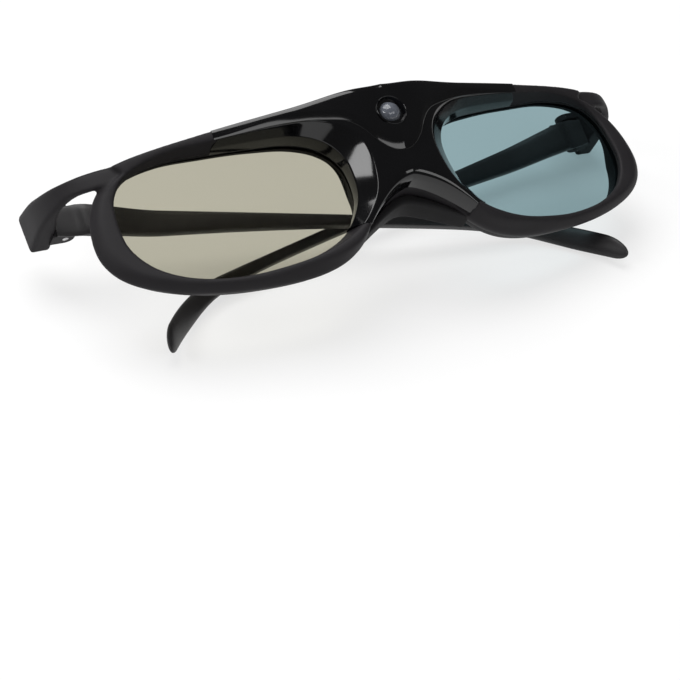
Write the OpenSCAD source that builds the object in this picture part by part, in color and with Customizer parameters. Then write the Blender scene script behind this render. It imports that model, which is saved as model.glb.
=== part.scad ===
// Folding shutter glasses lying on their folded temples.
// Each piece is drawn in front axes: X to the viewer's right, Y back from the lenses, Z up,
// with zero at the nose end of the lens plane and at mid lens height. The pair then leans back.

/* [Lenses] */
// Width of the clear lens opening
lens_w = 60; // [56:0.5:64]
// Height of the clear lens opening
lens_h = 37; // [34:0.5:40]
// Thickness of a shutter lens panel
lens_t = 2; // [1.6:0.1:2.4]
// Reach of a lens panel past its opening all round
lens_margin = 1.6; // [1.3:0.1:1.9]
// Turn of each lens towards its own side
wrap = 9; // [7:0.5:11]
// Gap between the two lens openings over the nose
nose_gap = 27.5; // [26.5:0.5:30]
// Thickness of the foam gasket before a lens
gasket_t = 0.6; // [0.4:0.1:0.8]

/* [Frame] */
// Width of the rim beside a lens
rim_side = 7.8; // [7.2:0.2:9]
// Width of the rim below a lens
rim_low = 4.3; // [3.6:0.1:5.4]
// Height of the brow above the lens opening
brow_rise = 2; // [1.8:0.1:3]
// Wave of the brow line
brow_crown = 0.5; // [0.3:0.1:0.7]
// Distance of the bridge front before the lens plane
bridge_depth = 9.7; // [8.8:0.1:11]
// Backward slope of the front from brow to lower rim
rake = 7; // [6:0.5:8]
// Height of the nose arch below mid lens height
arch_drop = 5.8; // [5:0.2:7]
// Distance from the middle to the end of the gloss cover
seam_x = 45; // [42:0.5:48]
// Depth of the front frame behind the lens plane
frame_depth = 3.2; // [2.8:0.1:3.6]
// Thickness of the rear frame
rear_t = 2.6; // [2.2:0.1:3]
// Growth of the lens opening towards the nose at the bridge front
funnel = 7.6; // [6.6:0.2:8.2]

/* [Brow panel and sensor] */
// Distance the brow panel stands proud of the cover
panel_t = 0.8; // [0.5:0.1:1.2]
// Half width of the shield in the middle of the brow panel
shield_w = 11; // [10:0.5:12]
// Height of the sensor above mid lens height
sensor_z = 12.6; // [11.6:0.2:13.4]
// Radius of the sensor dome
dome_r = 3.1; // [2.6:0.1:3.4]
// Width of the dished ring round the dome
dish_w = 1; // [0.8:0.1:1.4]

/* [Electronics] */
// Half width of the hollow in the bridge
bay_w = 9.6; // [9.2:0.1:9.8]
// Wall of the gloss cover over the hollow
cover_wall = 2.2; // [1.8:0.1:2.4]
// Thickness of the main board
board_t = 1; // [0.8:0.1:1.2]
// Height of the battery
battery_h = 9; // [7:0.5:10]
// Thickness of the battery
battery_t = 3.4; // [2.8:0.1:3.6]
// Width of the power button
button_w = 5.6; // [4.6:0.2:6.4]
// Travel of the power button
button_travel = 0.5; // [0.3:0.1:0.6]

/* [Elbows and hinges] */
// Distance from the middle to the hinge axis
hinge_x = 78.4; // [77.6:0.2:79.2]
// Distance of the hinge behind the lens plane
hinge_y = 30.2; // [28:0.2:32]
// Height of the hinge above mid lens height
hinge_z = 21.4; // [20.4:0.2:22.4]
// Backward tip of the hinge axis
hinge_tip = 8; // [7:0.5:9]
// Sideways lean of the folded temples, from play in the hinges
hinge_skew = 0.6; // [0.5:0.1:0.7]
// Thickness of the elbow wall at the hinge
elbow_t = 5.3; // [4.6:0.1:6]
// Height of the elbow at the hinge
elbow_h = 11.8; // [11:0.2:13]
// Radius of the hinge pin
pin_r = 0.8; // [0.6:0.05:1]
// Radius of the hinge barrel
barrel_r = 2.6; // [2.3:0.1:2.8]
// Height of the barrel on a temple
barrel_h = 6; // [5:0.2:6.6]

/* [Temples] */
// Length of a temple from its hinge
temple_l = 145; // [141:1:148]
// Thickness of a temple
temple_t = 3; // [2.6:0.1:3]
// Height of a temple near its hinge
temple_h = 9.2; // [8.4:0.2:10]
// Height of a temple at its slim middle
temple_mid_h = 3; // [2.8:0.1:3.1]
// Height of the rounded ear tip
tip_h = 7; // [6.4:0.2:7.6]
// Fall of a temple for each millimetre of length
temple_fall = 0.235; // [0.23:0.005:0.25]
// Length of a temple before its ear bend
bend_at = 120; // [118:1:122]
// Fall of the ear bend at the tip
bend_fall = 11; // [10:0.5:13]
// Turn of the ear bend towards the head at the tip
bend_in = 12; // [9:0.5:12]
// Forward fold of the inner temple
fold_left = 4.8; // [4.8:0.1:5.2]
// Forward fold of the outer temple
fold_right = 1; // [0.8:0.1:1.2]

/* [Rest] */
// Backward lean of the lenses when the folded pair lies on a table
lean = 66.4; // [65:0.2:68]
// Sideways roll of the folded pair on the table
roll = 3.3; // [2.5:0.1:4]

/* [Hidden] */
$fn = 48;

// Gaps between pieces
pocket_gap = 0.15;
seam_gap = 0.1;
run_gap = 0.25;
button_gap = 0.3;
pin_gap = 0.04;
// Half length of the blocks that cut and bound the shells
reach = 100;

// Places that follow from the driving sizes
lens_half = [lens_w / 2, lens_h / 2];
rim_half = [lens_half[0] + rim_side, lens_half[1] + rim_low];
lens_cx = nose_gap / 2 + lens_half[0] * cos(wrap);
front_half = lens_cx + rim_half[0] * cos(wrap);
brow_z = lens_half[1] + brow_rise;
crown_z = brow_z + 0.2 * brow_crown;
arch_foot = nose_gap / 2 + 4.5;
rear_w = frame_depth + rear_t;
elbow_in = hinge_x + barrel_r + 0.4;
elbow_out = elbow_in + elbow_t;
elbow_end = hinge_y + 6.2;
elbow_low = hinge_z - 4.6;
lug_h = 2;
temple_top = 3.2;
bay_top = brow_z - 2;
bay_floor = -arch_drop + 4.3;
board_low = bay_floor + 0.5;
board_top = bay_top - 1.6;
window_w = bay_w - 1.6;
board_back = lens_y(window_w) - gasket_t / cos(wrap) - 0.05;
board_front = board_back - board_t;
button_x = 5;
button_y = board_front - 1.6;
switch_top = board_top - 0.6;
light_x = -1;
usb_x = -7;
usb_w = 7.4;
usb_t = 2.6;
funnel_z = 8;
flex_z = [0, 4];
lens_edge = lens_half[0] - 0.995 * (lens_half[0] + lens_margin);
flex_end = nose_gap / 2 + lens_edge * cos(wrap) - lens_t * sin(wrap) - pocket_gap;
dish_r = dome_r + dish_w;
rim_lip = 1.8;
rim_mid = 0.8;
rim_back = 0.95;
rim_rear = 0.9;
rim_front = 0.82;
screw_r = 0.7;
screw_head_r = 1.1;
screw_spots = [[lens_w + lens_margin + 1.5, 1], [-lens_margin - 2.9, -6]];
pad_t = 2.3;

// Outlines as shares of their half width and half height
lens_shape = [[0.47, 1], [0.1, 0.96], [-0.3, 0.89], [-0.62, 0.8], [-0.85, 0.6], [-0.98, 0.26],
    [-0.98, -0.2], [-0.9, -0.52], [-0.74, -0.79], [-0.46, -0.96], [-0.13, -1], [0.23, -0.96],
    [0.57, -0.81], [0.83, -0.54], [0.98, -0.16], [1, 0.27], [0.95, 0.65], [0.79, 0.9]];
rim_shape = [[1, 0.04], [0.97, 0.35], [0.89, 0.62], [0.76, 0.81], [0.56, 0.88], [0.28, 0.9],
    [-0.1, 0.9], [-0.5, 0.85], [-0.76, 0.65], [-0.86, 0.3], [-0.88, -0.2], [-0.85, -0.48],
    [-0.78, -0.66], [-0.67, -0.83], [-0.52, -0.95], [-0.31, -1], [-0.03, -0.975], [0.26, -0.9],
    [0.52, -0.78], [0.75, -0.61], [0.9, -0.42], [0.98, -0.2]];
// Depth of the front before the lens plane, as shares of half width and bridge depth
depth_shape = [[0, 1], [0.12, 1.09], [0.24, 1], [0.37, 0.87], [0.54, 0.7], [0.73, 0.52],
    [0.88, 0.34], [0.96, 0.12], [1.03, -0.3]];
// Brow line, as shares of half width and brow wave
brow_shape = [[0, 0.2], [0.15, 0.2], [0.3, -0.2], [0.5, 0.8], [0.67, 1], [0.8, 0.4], [0.89, -1.4]];
// Temple height along its length
temple_heights = [[0, temple_h], [15, temple_h - 1.5], [45, temple_mid_h + 2.1],
    [75, temple_mid_h + 0.3], [95, temple_mid_h], [110, temple_mid_h + 0.3],
    [temple_l - 23, temple_mid_h + 1.7], [temple_l - 11, tip_h], [temple_l - 5, tip_h],
    [temple_l - 1.5, tip_h * 0.75], [temple_l, tip_h * 0.4]];
temple_stations = [for (s = [4 : 6 : temple_l - 12]) s];
tip_stations = [temple_l - 8, temple_l - 5, temple_l - 3, temple_l - 1.5, temple_l];
stations = concat(temple_stations, tip_stations);

// Curve through four points, and curves through closed and open lists of points
function bend(a, b, c, d, t) =
    0.5 * (2 * b + (c - a) * t + (2 * a - 5 * b + 4 * c - d) * t * t + (3 * b - a - 3 * c + d) * t * t * t);
function loop(p, n) = let (m = len(p))
    [for (i = [0 : m - 1], k = [0 : n - 1])
        bend(p[(i + m - 1) % m], p[i], p[(i + 1) % m], p[(i + 2) % m], k / n)];
function run(p, n) = let (m = len(p))
    concat([for (i = [0 : m - 2], k = [0 : n - 1])
        bend(p[max(i - 1, 0)], p[i], p[i + 1], p[min(i + 2, m - 1)], k / n)], [p[m - 1]]);
function scaled(p, s) = [for (q = p) [q[0] * s[0], q[1] * s[1]]];
function reversed(p) = [for (i = [len(p) - 1 : -1 : 0]) p[i]];
function mirrored(p) = [for (q = reversed(p)) [-q[0], q[1]]];
function both_sides(p) = concat(p, mirrored(p));
function shifted(p, dy) = [for (q = p) [q[0], q[1] + dy]];

// Lens plane in plan, the front of the frame in plan, and the nose arch
function lens_y(x) = (abs(x) - nose_gap / 2) * tan(wrap);
function lens_line(w) = [for (x = [-reach, 0, reach]) [x, lens_y(x) + w / cos(wrap)]];
front_side = run([for (p = depth_shape)
    [p[0] * front_half, lens_y(p[0] * front_half) - p[1] * bridge_depth]], 4);
front_line = concat(mirrored(front_side), [for (i = [1 : len(front_side) - 1]) front_side[i]]);
function arch_z(x) = -arch_drop - (lens_half[1] - arch_drop) * pow(x / arch_foot, 1.6);
arch_line = [for (x = [0 : arch_foot / 8 : arch_foot]) [x, arch_z(x)]];
function front_y(z) = front_side[0][1] / cos(rake) + (brow_z - z) * tan(rake);

// Temple edges along its length, and the height of its lowest point at rest
function bend_share(s) = pow(max(s - bend_at, 0) / (temple_l - bend_at), 2);
function temple_in(s) = bend_in * bend_share(s);
function temple_upper(s) = temple_top - temple_fall * s - bend_fall * bend_share(s);
function temple_lower(s) = temple_upper(s) - lookup(s, temple_heights);
function fold(side) = side < 0 ? fold_left : fold_right;
function turned(p, a) = [p[0] * cos(a) - p[1] * sin(a), p[0] * sin(a) + p[1] * cos(a), p[2]];
function skewed(p) = [p[0] * cos(hinge_skew) + p[2] * sin(hinge_skew), p[1],
    p[2] * cos(hinge_skew) - p[0] * sin(hinge_skew)];
function tipped(p) = [p[0], p[1] * cos(hinge_tip) - p[2] * sin(hinge_tip),
    p[1] * sin(hinge_tip) + p[2] * cos(hinge_tip)];
function in_front_axes(side, p) = [side * hinge_x, hinge_y, hinge_z]
    + tipped(skewed(turned([side * p[0], p[1], p[2]], side * fold(side))));
function leaned(p) = [p[0], p[1] * cos(lean) + p[2] * sin(lean), p[2] * cos(lean) - p[1] * sin(lean)];
function rolled(p) = [p[0] * cos(roll) + p[2] * sin(roll), p[1], p[2] * cos(roll) - p[0] * sin(roll)];
touch_points = concat([for (x = [elbow_in, elbow_out], z = [0, elbow_h]) [x, elbow_end, elbow_low + z]],
    [for (side = [-1, 1], s = stations, y = [-1, 1])
        in_front_axes(side, [-s, y * temple_t / 2 - temple_in(s), temple_lower(s)])]);
lift = -min([for (p = touch_points) rolled(leaned(p))[2]]);
rest_shift = [1.26, -9.87];

// Leaning rest on the table
module rest() {
    translate([rest_shift[0], rest_shift[1], lift])
        rotate([0, roll, 0])
            rotate([-lean, 0, 0])
                children();
}

// Lens axes: X along the lens from its nose end, Y back along its normal
module at_lens(side) {
    mirror([side < 0 ? 1 : 0, 0, 0])
        translate([nose_gap / 2, 0, 0])
            rotate([0, 0, wrap])
                children();
}

// Flat outline in X and Z given depth from y0 to y1
module sheet(y0, y1) {
    translate([0, y1, 0])
        rotate([90, 0, 0])
            linear_extrude(y1 - y0)
                children();
}

module lens_outline(grow) {
    translate([lens_half[0], 0])
        polygon(loop(scaled(lens_shape, lens_half + [grow, grow]), 4));
}

// Layer that follows both lens planes from depth w0 to depth w1
module layer(w0, w1) {
    translate([0, 0, -reach])
        linear_extrude(2 * reach)
            polygon(concat(lens_line(w0), reversed(lens_line(w1))));
}

// Plan outline drawn out along the sloping front
module raked() {
    translate([0, 0, brow_z])
        rotate([rake, 0, 0])
            translate([0, 0, -reach])
                linear_extrude(2 * reach)
                    children();
}

module behind_front(back) {
    raked()
        polygon(concat(shifted(front_line, back), [[reach, reach], [-reach, reach]]));
}

// Rim that is widest a little behind the lens face and narrows to front and back
module rim(w0, w1, share0, share1) {
    back = w1 > w0 ? 1 : -1;
    each_side()
        translate([lens_half[0], w0, 0])
            rotate([-90 * back, 0, 0])
                linear_extrude(abs(w1 - w0), scale = share1 / share0)
                    polygon(loop(scaled(rim_shape, share0 * [rim_half[0], -back * rim_half[1]]), 3));
}

module brow_outline() {
    top = run([for (p = brow_shape) [p[0] * front_half, brow_z + p[1] * brow_crown]], 4);
    half = concat(top, [[0.8 * front_half, 0], [lens_cx, -lens_half[1] / 4]], reversed(arch_line));
    polygon(both_sides(half));
}

// Part of the front that the gloss cover takes
module cover_zone(gap) {
    half = [[0, reach], [seam_x - gap, reach], [seam_x - gap, 5], [20.3, -13 + gap], [12.5, -17.6 + gap],
        [0, -17.6 + gap]];
    polygon(both_sides(half));
}

module each_side() {
    for (side = [-1, 1])
        at_lens(side)
            children();
}

// Opening that is straight at the lens and flares out to the front, most of all towards the nose
module lens_funnel() {
    depth = bridge_depth + 6;
    each_side() {
        sheet(-gasket_t - 0.5, reach)
            lens_outline(0);
        translate([lens_w, -gasket_t, funnel_z])
            rotate([90, 0, 0])
                linear_extrude(depth, scale = 1 + funnel * depth / bridge_depth / lens_w)
                    translate([-lens_w, -funnel_z])
                        lens_outline(0);
    }
}

// Shell of the front before it is split into cover and frame
module front_body() {
    intersection() {
        union() {
            sheet(-reach, reach)
                brow_outline();
            rim(rim_mid, -6.2, 1, rim_front);
        }
        layer(-reach / 2, frame_depth);
        behind_front(0);
    }
    intersection() {
        rim(rim_mid, -6.2, 1, rim_front);
        layer(-rim_lip, frame_depth);
    }
    rim(rim_mid, frame_depth, 1, rim_back);
}

// Hinge axes: Z along the pin, X outwards
module at_hinge(side) {
    translate([side * hinge_x, hinge_y, hinge_z])
        rotate([hinge_tip, 0, 0])
            rotate([0, hinge_skew, 0])
                mirror([side < 0 ? 1 : 0, 0, 0])
                    children();
}

// Arm that carries the hinge back from the outer end of the brow
module elbow(side) {
    rim_y = lens_y(front_half);
    outer = run([[elbow_out - 20.5, rim_y - 5.5], [elbow_out - 11.5, rim_y - 3],
        [elbow_out - 6, rim_y + 0.8], [elbow_out - 2.2, rim_y + 7.3], [elbow_out - 0.3, rim_y + 15.3],
        [elbow_out, elbow_end]], 4);
    inner = run([[elbow_in, elbow_end], [elbow_in, elbow_end - 8], [elbow_out - 4.4, rim_y + 8.4],
        [elbow_out - 7.8, rim_y + 2.6], [elbow_out - 12.6, rim_y - 0.8], [elbow_out - 20, rim_y - 2.4]], 4);
    lower = run([[rim_y - 9, elbow_low - 3.6], [rim_y - 2, elbow_low - 2.2], [rim_y + 2.5, elbow_low - 0.3],
        [rim_y + 9, elbow_low - 0.4], [elbow_end, elbow_low]], 4);
    upper = run([[elbow_end, elbow_low + elbow_h], [rim_y + 16, elbow_low + 9.4],
        [rim_y + 8, elbow_low + 6.8], [rim_y, elbow_low + 4.6], [rim_y - 9, elbow_low + 3.4]], 4);
    mirror([side < 0 ? 1 : 0, 0, 0])
        intersection() {
            translate([0, 0, -reach])
                linear_extrude(2 * reach)
                    polygon(concat(outer, inner));
            rotate([90, 0, 90])
                linear_extrude(reach)
                    polygon(concat(lower, upper));
        }
}

module hinge_lugs(side) {
    at_hinge(side)
        for (end = [-1, 1])
            translate([0, 0, end * (barrel_h + lug_h + 2 * run_gap) / 2]) {
                cylinder(r = barrel_r, h = lug_h, center = true);
                translate([0, -barrel_r, -lug_h / 2])
                    cube([elbow_in - hinge_x + 1, 2 * barrel_r, lug_h]);
            }
}

module pin_hole(side, r) {
    at_hinge(side)
        cylinder(r = r, h = 30, center = true);
}

module screw_hole(r, w0, w1) {
    each_side()
        for (spot = screw_spots)
            translate([spot[0], w1, spot[1]])
                rotate([90, 0, 0])
                    cylinder(r = r, h = w1 - w0);
}

// Space behind the cover for the board and what stands on it
module board_window() {
    translate([-window_w, board_front - 1, board_low - pocket_gap])
        cube([2 * window_w, reach, board_top - board_low + 2 * pocket_gap]);
    for (side = [0, 1])
        mirror([side, 0, 0])
            translate([window_w - 0.1, board_back - 0.4, flex_z[0] - 0.3])
                cube([flex_end - window_w + 0.5, 2.8, flex_z[1] - flex_z[0] + 0.6]);
}

module front_frame() {
    color([0.19, 0.18, 0.19])
        difference() {
            union() {
                difference() {
                    front_body();
                    intersection() {
                        sheet(-reach, reach)
                            cover_zone(0);
                        layer(-reach, -gasket_t);
                    }
                }
                for (side = [-1, 1]) {
                    elbow(side);
                    hinge_lugs(side);
                }
            }
            lens_funnel();
            each_side()
                sheet(-gasket_t, reach)
                    lens_outline(lens_margin + pocket_gap);
            board_window();
            screw_hole(screw_r + 0.02, lens_t / 5, reach);
            pin_hole(-1, pin_r + 0.02);
            pin_hole(1, pin_r + 0.02);
        }
}

module rear_frame() {
    color([0.16, 0.16, 0.17])
        difference() {
            union() {
                intersection() {
                    sheet(-reach, reach)
                        brow_outline();
                    layer(frame_depth + 0.02, rear_w);
                }
                rim(frame_depth + 0.02, rear_w, rim_back, rim_rear);
                each_side()
                    sheet(lens_t + 0.05, frame_depth + 1)
                        lens_outline(lens_margin);
            }
            each_side()
                sheet(0, reach)
                    lens_outline(0.6);
            for (side = [0, 1])
                mirror([side, 0, 0])
                    translate([elbow_in - 12, 0, elbow_low - 2.8])
                        cube(reach);
            screw_hole(screw_r + 0.05, 0, reach);
            screw_hole(screw_head_r + 0.1, rear_w - 1.1, reach);
        }
}

module bridge_cover() {
    color([0.03, 0.03, 0.035])
        difference() {
            intersection() {
                front_body();
                sheet(-reach, reach)
                    cover_zone(seam_gap);
                layer(-reach, -gasket_t - seam_gap);
            }
            lens_funnel();
            intersection() {
                behind_front(cover_wall);
                translate([-bay_w, -reach / 2, bay_floor])
                    cube([2 * bay_w, reach, bay_top - bay_floor]);
            }
            board_window();
            sensor_bore();
            translate([usb_x - usb_w / 2 - 0.3, board_front - usb_t - 0.3, bay_top - 5.2])
                cube([usb_w + 0.6, usb_t + 0.6, reach]);
            translate([button_x - button_w / 2 - button_gap, button_y - 1.4 - button_gap, bay_floor + 1])
                cube([button_w + 2 * button_gap, 2.8 + 2 * button_gap, reach]);
            translate([light_x, button_y, bay_floor + 1])
                cylinder(r = 0.85, h = reach);
        }
}

// Sensor axes on the sloping face of the cover, Y back into the bridge
module at_sensor() {
    translate([0, front_y(sensor_z), sensor_z])
        rotate([rake - 90, 0, 0])
            children();
}

module sensor_bore() {
    at_sensor()
        cylinder(r = dish_r + seam_gap, h = 12, center = true);
}

module brow_panel() {
    edge = run([[0, sensor_z - 11], [0.27 * shield_w, sensor_z - 10.2], [0.56 * shield_w, sensor_z - 7.4],
        [0.86 * shield_w, sensor_z - 2.7], [1.14 * shield_w, sensor_z], [1.5 * shield_w, sensor_z + 1.6],
        [2 * shield_w, sensor_z + 3.2], [2.7 * shield_w, sensor_z + 4.5], [3.45 * shield_w, sensor_z + 5.2],
        [seam_x - seam_gap, sensor_z + 5.7]], 4);
    color([0.04, 0.04, 0.045])
        difference() {
            intersection() {
                sheet(-reach, reach)
                    intersection() {
                        brow_outline();
                        polygon(both_sides(concat(edge, [[seam_x - seam_gap, reach], [0, reach]])));
                    }
                difference() {
                    behind_front(-panel_t);
                    behind_front(-0.05);
                }
            }
            sensor_bore();
            lens_funnel();
        }
}

module sensor_ring() {
    color([0.08, 0.08, 0.09])
        at_sensor()
            rotate_extrude()
                polygon([[dome_r + seam_gap, 3.2], [dome_r + seam_gap, 0.6], [dish_r, -panel_t],
                    [dish_r, 3.2]]);
}

module sensor_dome() {
    color([0.12, 0.03, 0.04])
        at_sensor() {
            translate([0, 0, dome_r - panel_t - 0.8])
                sphere(r = dome_r);
            translate([0, 0, dome_r - panel_t - 0.8])
                cylinder(r = dome_r, h = 1.6);
        }
}

module photodiode() {
    nose = front_y(sensor_z) + 6;
    color([0.2, 0.2, 0.22])
        translate([0, board_front, sensor_z])
            rotate([90, 0, 0]) {
                cylinder(r = 1.9, h = 1);
                cylinder(r = 1.5, h = board_front - nose);
                translate([0, 0, board_front - nose])
                    sphere(r = 1.5);
            }
}

module lens(side) {
    color([0.45, 0.5, 0.48, 0.5])
        at_lens(side)
            sheet(0, lens_t)
                lens_outline(lens_margin);
}

module left_lens() {
    lens(-1);
}

module right_lens() {
    lens(1);
}

module gasket(side) {
    color([0.1, 0.1, 0.1])
        at_lens(side)
            sheet(-gasket_t + 0.02, -0.02)
                difference() {
                    lens_outline(lens_margin);
                    lens_outline(0.2);
                }
}

module left_gasket() {
    gasket(-1);
}

module right_gasket() {
    gasket(1);
}

module main_board() {
    color([0.05, 0.3, 0.12])
        translate([-bay_w + 1, board_front, board_low])
            cube([2 * bay_w - 2, board_t, board_top - board_low]);
}

module control_chip() {
    color([0.07, 0.07, 0.08])
        translate([-4, board_back, sensor_z - 4])
            cube([8, 1, 7]);
}

module battery() {
    color([0.55, 0.56, 0.58])
        translate([-bay_w + 3, board_front - battery_t, board_low])
            cube([2 * bay_w - 6, battery_t, battery_h]);
}

module usb_socket() {
    color([0.7, 0.7, 0.72])
        translate([usb_x, board_front - usb_t / 2, bay_top - 4.9]) {
            difference() {
                translate([-usb_w / 2, -usb_t / 2, 0])
                    cube([usb_w, usb_t, 5.6]);
                translate([-usb_w / 2 + 0.4, -usb_t / 2 + 0.4, 0.8])
                    cube([usb_w - 0.8, usb_t - 0.8, 5.6]);
            }
            translate([-usb_w / 2 + 1.4, -0.35, 0.6])
                cube([usb_w - 2.8, 0.7, 4.2]);
        }
}

module power_switch() {
    color([0.75, 0.74, 0.7])
        translate([button_x - 2.5, board_front - 3, switch_top - 3])
            cube([5, 3, 3]);
}

// Cap through the brow with a flange that keeps it in
module power_button() {
    foot = switch_top + button_travel + 0.3;
    color([0.1, 0.1, 0.11]) {
        translate([button_x - button_w / 2, button_y - 1.4, foot])
            cube([button_w, 2.8, crown_z + 0.6 - foot]);
        translate([button_x - button_w / 2 - 0.9, button_y - 1.4, foot])
            cube([button_w + 1.8, 2.8, bay_top - 0.3 - foot]);
    }
}

module status_light() {
    color([0.75, 0.8, 0.75])
        translate([light_x, button_y, board_top - 1]) {
            translate([-1.2, 0, 0])
                cube([2.4, 1.6, 1]);
            cylinder(r = 0.8, h = crown_z - board_top + 1);
        }
}

// Ribbon from the board to the nose edge of a lens
module lens_flex(side) {
    color([0.75, 0.45, 0.12])
        mirror([side < 0 ? 1 : 0, 0, 0])
            translate([0, 0, flex_z[0]])
                linear_extrude(flex_z[1] - flex_z[0])
                    polygon([[window_w - 1, board_back + 0.02], [flex_end - 1.8, board_back + 0.02],
                        [flex_end, board_back + 2.2], [flex_end - 0.35, board_back + 2.2],
                        [flex_end - 1.95, board_back + 0.32], [window_w - 1, board_back + 0.32]]);
}

module left_lens_flex() {
    lens_flex(-1);
}

module right_lens_flex() {
    lens_flex(1);
}

// Soft saddle under the nose arch with a lip behind the rear frame
module nose_pad() {
    side_line = [for (x = [0 : arch_foot / 12 : arch_foot * 0.7]) [x, arch_z(x)]];
    color([0.12, 0.12, 0.13]) {
        sheet(lens_y(0) + 3, rear_w + 2)
            polygon(both_sides(concat(shifted(side_line, -0.05), reversed(shifted(side_line, -pad_t)))));
        intersection() {
            sheet(0, reach)
                polygon(both_sides(concat(shifted(side_line, 3), reversed(shifted(side_line, -pad_t)))));
            layer(rear_w + 0.05, rear_w + 1.5);
        }
    }
}

module rear_screws() {
    color([0.5, 0.5, 0.52])
        difference() {
            union() {
                screw_hole(screw_r, lens_t / 5 + 0.1, rear_w - 1);
                screw_hole(screw_head_r, rear_w - 1.05, rear_w - 0.1);
            }
            each_side()
                for (spot = screw_spots)
                    translate([spot[0] - 0.25, rear_w - 0.6, spot[1] - 2])
                        cube([0.5, 2, 4]);
        }
}

module hinge_pin(side) {
    stack = barrel_h + 2 * run_gap + 2 * lug_h;
    color([0.7, 0.7, 0.72])
        at_hinge(side) {
            cylinder(r = pin_r, h = stack, center = true);
            translate([0, 0, stack / 2 + 0.02])
                cylinder(r1 = pin_r + 0.5, r2 = pin_r + 0.2, h = 0.4);
            translate([0, 0, stack / 2 - 0.1])
                cylinder(r = pin_r, h = 0.3);
        }
}

module left_hinge_pin() {
    hinge_pin(-1);
}

module right_hinge_pin() {
    hinge_pin(1);
}

// Arm drawn from its hinge towards the middle, with a bored barrel
module temple(side) {
    upper = [for (s = stations) [-s, temple_upper(s)]];
    lower = [for (s = stations) [-s, temple_lower(s)]];
    back = [for (s = stations) [-s, temple_t / 2 - temple_in(s)]];
    face = [for (s = stations) [-s, -temple_t / 2 - temple_in(s)]];
    color([0.14, 0.14, 0.15])
        at_hinge(side)
            rotate([0, 0, fold(side)])
                difference() {
                    union() {
                        intersection() {
                            sheet(-reach, reach)
                                polygon(concat(upper, reversed(lower)));
                            translate([0, 0, -reach])
                                linear_extrude(2 * reach)
                                    polygon(concat(back, reversed(face)));
                        }
                        cylinder(r = barrel_r, h = barrel_h, center = true);
                        translate([-5, -temple_t / 2, -barrel_h / 2])
                            cube([5, temple_t, temple_upper(4) + barrel_h / 2]);
                    }
                    cylinder(r = pin_r + pin_gap, h = reach, center = true);
                }
}

module left_temple() {
    temple(-1);
}

module right_temple() {
    temple(1);
}

rest() front_frame();
rest() rear_frame();
rest() bridge_cover();
rest() brow_panel();
rest() sensor_ring();
rest() sensor_dome();
rest() photodiode();
rest() left_lens();
rest() right_lens();
rest() left_gasket();
rest() right_gasket();
rest() main_board();
rest() control_chip();
rest() battery();
rest() usb_socket();
rest() power_switch();
rest() power_button();
rest() status_light();
rest() left_lens_flex();
rest() right_lens_flex();
rest() nose_pad();
rest() rear_screws();
rest() left_hinge_pin();
rest() right_hinge_pin();
rest() left_temple();
rest() right_temple();
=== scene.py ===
import math

import bmesh
import bpy
import numpy as np
from mathutils import Matrix, Vector


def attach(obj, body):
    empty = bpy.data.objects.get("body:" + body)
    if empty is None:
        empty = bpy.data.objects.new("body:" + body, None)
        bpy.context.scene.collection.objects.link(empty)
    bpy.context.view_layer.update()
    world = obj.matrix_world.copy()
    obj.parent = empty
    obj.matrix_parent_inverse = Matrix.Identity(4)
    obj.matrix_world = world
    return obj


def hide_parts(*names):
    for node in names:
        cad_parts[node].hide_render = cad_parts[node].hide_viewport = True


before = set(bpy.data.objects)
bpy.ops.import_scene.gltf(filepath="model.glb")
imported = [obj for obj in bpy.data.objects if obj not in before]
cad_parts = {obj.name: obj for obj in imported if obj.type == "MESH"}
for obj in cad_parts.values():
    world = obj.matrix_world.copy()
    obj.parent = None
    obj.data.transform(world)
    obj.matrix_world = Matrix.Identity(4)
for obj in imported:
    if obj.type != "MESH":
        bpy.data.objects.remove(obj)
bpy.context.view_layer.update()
scene = bpy.context.scene
scene.view_settings.view_transform = "Standard"


# Table and light. The folded pair lies on a plain white table under a wide softbox behind it,
# a smaller one low on the left that shows as the bright patch beside the nose, and a weak one
# in front that shows along the lower edge of the brow panel and on the lips of the cover.
class Wire:
    """A socket in a finish. Sums and products of wires add the Math nodes that work them out."""

    def __init__(self, tree, socket=None):
        self.tree = tree
        self.socket = socket

    def node(self, kind, settings=None, sockets=None, out=0):
        made = self.tree.nodes.new(kind)
        for name, value in (settings or {}).items():
            setattr(made, name, value)
        for name, value in (sockets or {}).items():
            if isinstance(value, Wire):
                self.tree.links.new(value.socket, made.inputs[name])
            else:
                made.inputs[name].default_value = value
        return Wire(self.tree, made.outputs[out] if made.outputs else None)

    def maths(self, operation, first, second):
        return self.node("ShaderNodeMath", {"operation": operation}, {0: first, 1: second})

    def __add__(self, other):
        return self.maths("ADD", self, other)

    def __radd__(self, other):
        return self.maths("ADD", other, self)

    def __mul__(self, other):
        return self.maths("MULTIPLY", self, other)

    def __rmul__(self, other):
        return self.maths("MULTIPLY", other, self)

    def limit(self, other):
        return self.maths("MINIMUM", self, other)


def new_finish(name):
    made = bpy.data.materials.new(name)
    made.use_nodes = True
    made.node_tree.nodes.clear()
    return made, Wire(made.node_tree)


def show(wire, surface):
    wire.node("ShaderNodeOutputMaterial", None, {"Surface": surface})


def put_on(finish, *pieces):
    for piece in pieces:
        piece.data.materials.clear()
        piece.data.materials.append(finish)


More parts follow.
